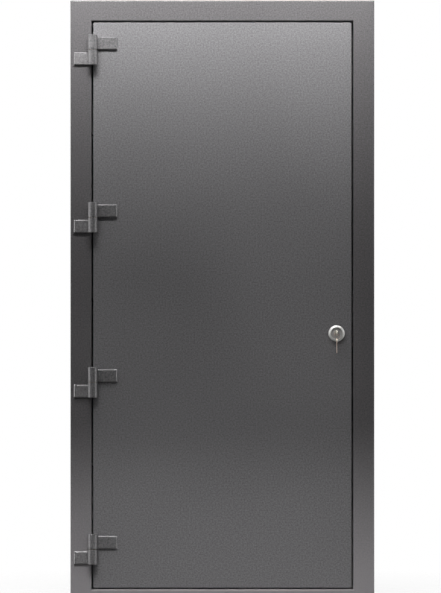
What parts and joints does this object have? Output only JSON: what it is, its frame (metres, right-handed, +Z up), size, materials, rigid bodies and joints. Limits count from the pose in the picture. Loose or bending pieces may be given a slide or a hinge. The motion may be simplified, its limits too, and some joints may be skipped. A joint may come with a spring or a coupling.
{
  "type": "single steel security door with frame",
  "caption": "Flush sheet-steel door leaf hung on lift-off barrel hinges in a folded four-sided steel frame, with a round guarded cylinder lock and a key in it.",
  "frame": {"origin": "centre of the underside of the sill, at the middle of the frame's depth", "axes": "+X towards the lock jamb, +Y through the wall away from the hinges, +Z up"},
  "size_m": [1, 0.138, 2.005],
  "materials": {
    "frame_paint": "textured metallic powder coat",
    "leaf_paint": "textured metallic powder coat",
    "hinge_paint": "textured metallic powder coat",
    "bright_steel": "zinc plated",
    "blackened_steel": "blackened",
    "washer_brass": "turned",
    "escutcheon_steel": "satin nickel",
    "guard_steel": "turned hardened steel",
    "cylinder_nickel": "satin nickel plated",
    "key_nickel": "nickel silver",
    "spare_key_brass": "worn brass",
    "ring_steel": "worn",
    "seal_rubber": "matt"
  },
  "bodies": {
    "frame": {"hinge_jamb": "frame_paint", "lock_jamb": "frame_paint", "head": "frame_paint", "sill": "frame_paint", "frame_seal": "seal_rubber", "strike_plate": "frame_paint", "hinge_1_frame_strap": "hinge_paint", "hinge_2_frame_strap": "hinge_paint", "hinge_3_frame_strap": "hinge_paint", "hinge_4_frame_strap": "hinge_paint", "hinge_1_lower_knuckle": "hinge_paint", "hinge_2_lower_knuckle": "hinge_paint", "hinge_3_lower_knuckle": "hinge_paint", "hinge_4_lower_knuckle": "hinge_paint", "hinge_pins": "bright_steel", "hinge_washers": "washer_brass"},
    "leaf": {"leaf_front_plate": "leaf_paint", "leaf_hinge_stile": "leaf_paint", "leaf_lock_stile": "leaf_paint", "leaf_top_rail": "leaf_paint", "leaf_bottom_rail": "leaf_paint", "leaf_back_sheet": "leaf_paint", "hinge_edge_studs": "blackened_steel", "lock_faceplate": "bright_steel", "lock_case": "bright_steel", "deadbolt": "bright_steel", "outer_escutcheon": "escutcheon_steel", "guard_disc": "guard_steel", "lock_cylinder": "cylinder_nickel", "inner_escutcheon": "escutcheon_steel", "hinge_1_leaf_strap": "hinge_paint", "hinge_2_leaf_strap": "hinge_paint", "hinge_3_leaf_strap": "hinge_paint", "hinge_4_leaf_strap": "hinge_paint", "hinge_1_upper_knuckle": "hinge_paint", "hinge_2_upper_knuckle": "hinge_paint", "hinge_3_upper_knuckle": "hinge_paint", "hinge_4_upper_knuckle": "hinge_paint"},
    "key": {"cylinder_plug": "cylinder_nickel", "key": "key_nickel"},
    "key_ring": {"key_ring": "ring_steel"},
    "spare_key": {"spare_key": "spare_key_brass"}
  },
  "joints": [
    {"name": "leaf_swing", "type": "hinge", "parent": "frame", "child": "leaf", "pos_m": [-0.426, -0.068, 1], "axis": [0, 0, -1], "range_deg": [0, 180]},
    {"name": "key_turn", "type": "hinge", "parent": "leaf", "child": "key", "pos_m": [0.3755, -0.05, 0.9095], "axis": [0, 1, 0], "continuous": true},
    {"name": "ring_swing", "type": "hinge", "parent": "key", "child": "key_ring", "pos_m": [0.3755, -0.0765, 0.9077], "axis": [-1, 0, 0], "range_deg": [-5, 90]},
    {"name": "spare_key_swing", "type": "hinge", "parent": "key_ring", "child": "spare_key", "pos_m": [0.3755, -0.0765, 0.8905], "axis": [-1, 0, 0], "range_deg": [-10, 60]}
  ]
}
